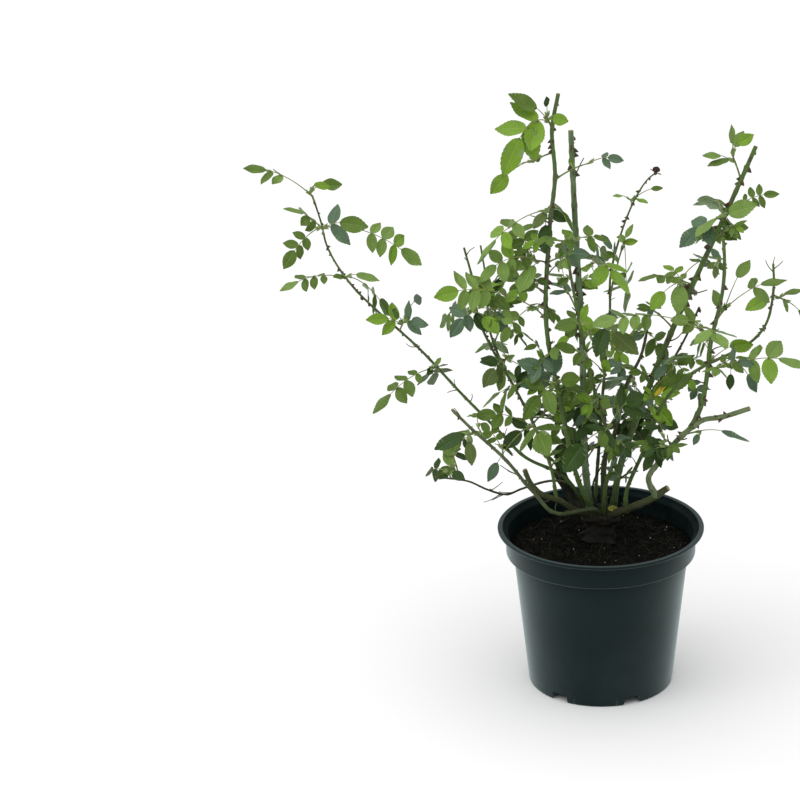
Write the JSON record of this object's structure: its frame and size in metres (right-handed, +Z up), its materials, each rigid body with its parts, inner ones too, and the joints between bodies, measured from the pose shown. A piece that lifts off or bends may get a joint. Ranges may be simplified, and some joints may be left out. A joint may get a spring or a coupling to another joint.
{
  "type": "potted rose bush",
  "caption": "Young rose bush with long bare canes, sparse compound leaves and one withered bud, growing from a graft crown in a round dark plastic nursery pot.",
  "frame": {"origin": "centre of the pot's underside, on the surface it stands on", "axes": "+Z up along the pot's axis; the pictured front faces -Y and +X points to the right in the picture"},
  "size_m": [0.6405, 0.3497, 0.7235],
  "materials": {
    "pot": "satin dark green-grey nursery plastic",
    "soil": "rough dark compost",
    "bark": "rough old bark",
    "cane": "smooth green rose bark with brown flecks",
    "foliage": "soft mid-green leaf"
  },
  "bodies": {
    "root": {"pot": "pot", "soil": "soil", "cane_tall_left": "cane", "cane_thick_left": "cane", "cane_front": "cane", "cane_bare_middle": "cane", "cane_leaning_right": "cane", "cane_bud": "cane", "branch_low_right": "cane", "cane_low_left": "cane", "branch_old_left": "cane", "cane_left_arch": "cane", "cane_right": "cane", "branch_cut_right": "cane", "branch_dark_right": "cane", "cane_up_right": "cane", "cane_left_upright": "cane", "cane_left_twin": "cane", "twig_low_left": "cane", "crown": "bark", "leaves_top_left": "foliage", "leaves_thin_left": "foliage", "leaves_thin_right": "foliage", "leaves_high_left": "foliage", "leaves_hanging_left": "foliage", "leaves_long_left": "foliage", "leaves_low_left_inner": "foliage", "leaves_upper_middle": "foliage", "leaves_middle_right": "foliage", "leaves_inner_twig": "foliage", "leaves_low_middle": "foliage", "leaves_front_upper": "foliage", "leaves_front_middle": "foliage", "leaves_front_low": "foliage", "leaves_bud_top": "foliage", "leaves_bud_fork": "foliage", "leaves_middle_top": "foliage", "leaves_middle_low": "foliage", "leaves_top_right": "foliage", "leaves_right_high": "foliage", "leaves_right_middle": "foliage", "leaves_right_inner": "foliage", "leaves_right_low": "foliage", "leaves_edge_top": "foliage", "leaves_edge_low": "foliage", "leaves_round": "foliage", "leaves_up_right_top": "foliage", "leaves_up_right_long": "foliage", "leaves_up_right_out": "foliage", "leaves_low_right": "foliage", "leaves_low_left": "foliage", "leaves_low_round": "foliage", "leaves_arch_tip": "foliage", "leaves_arch_upper": "foliage", "leaves_arch_middle": "foliage", "leaves_arch_low": "foliage", "leaves_arch_droop": "foliage", "leaves_upright_middle": "foliage", "leaves_upright_low": "foliage", "leaves_upright_foot": "foliage"}
  },
  "joints": []
}
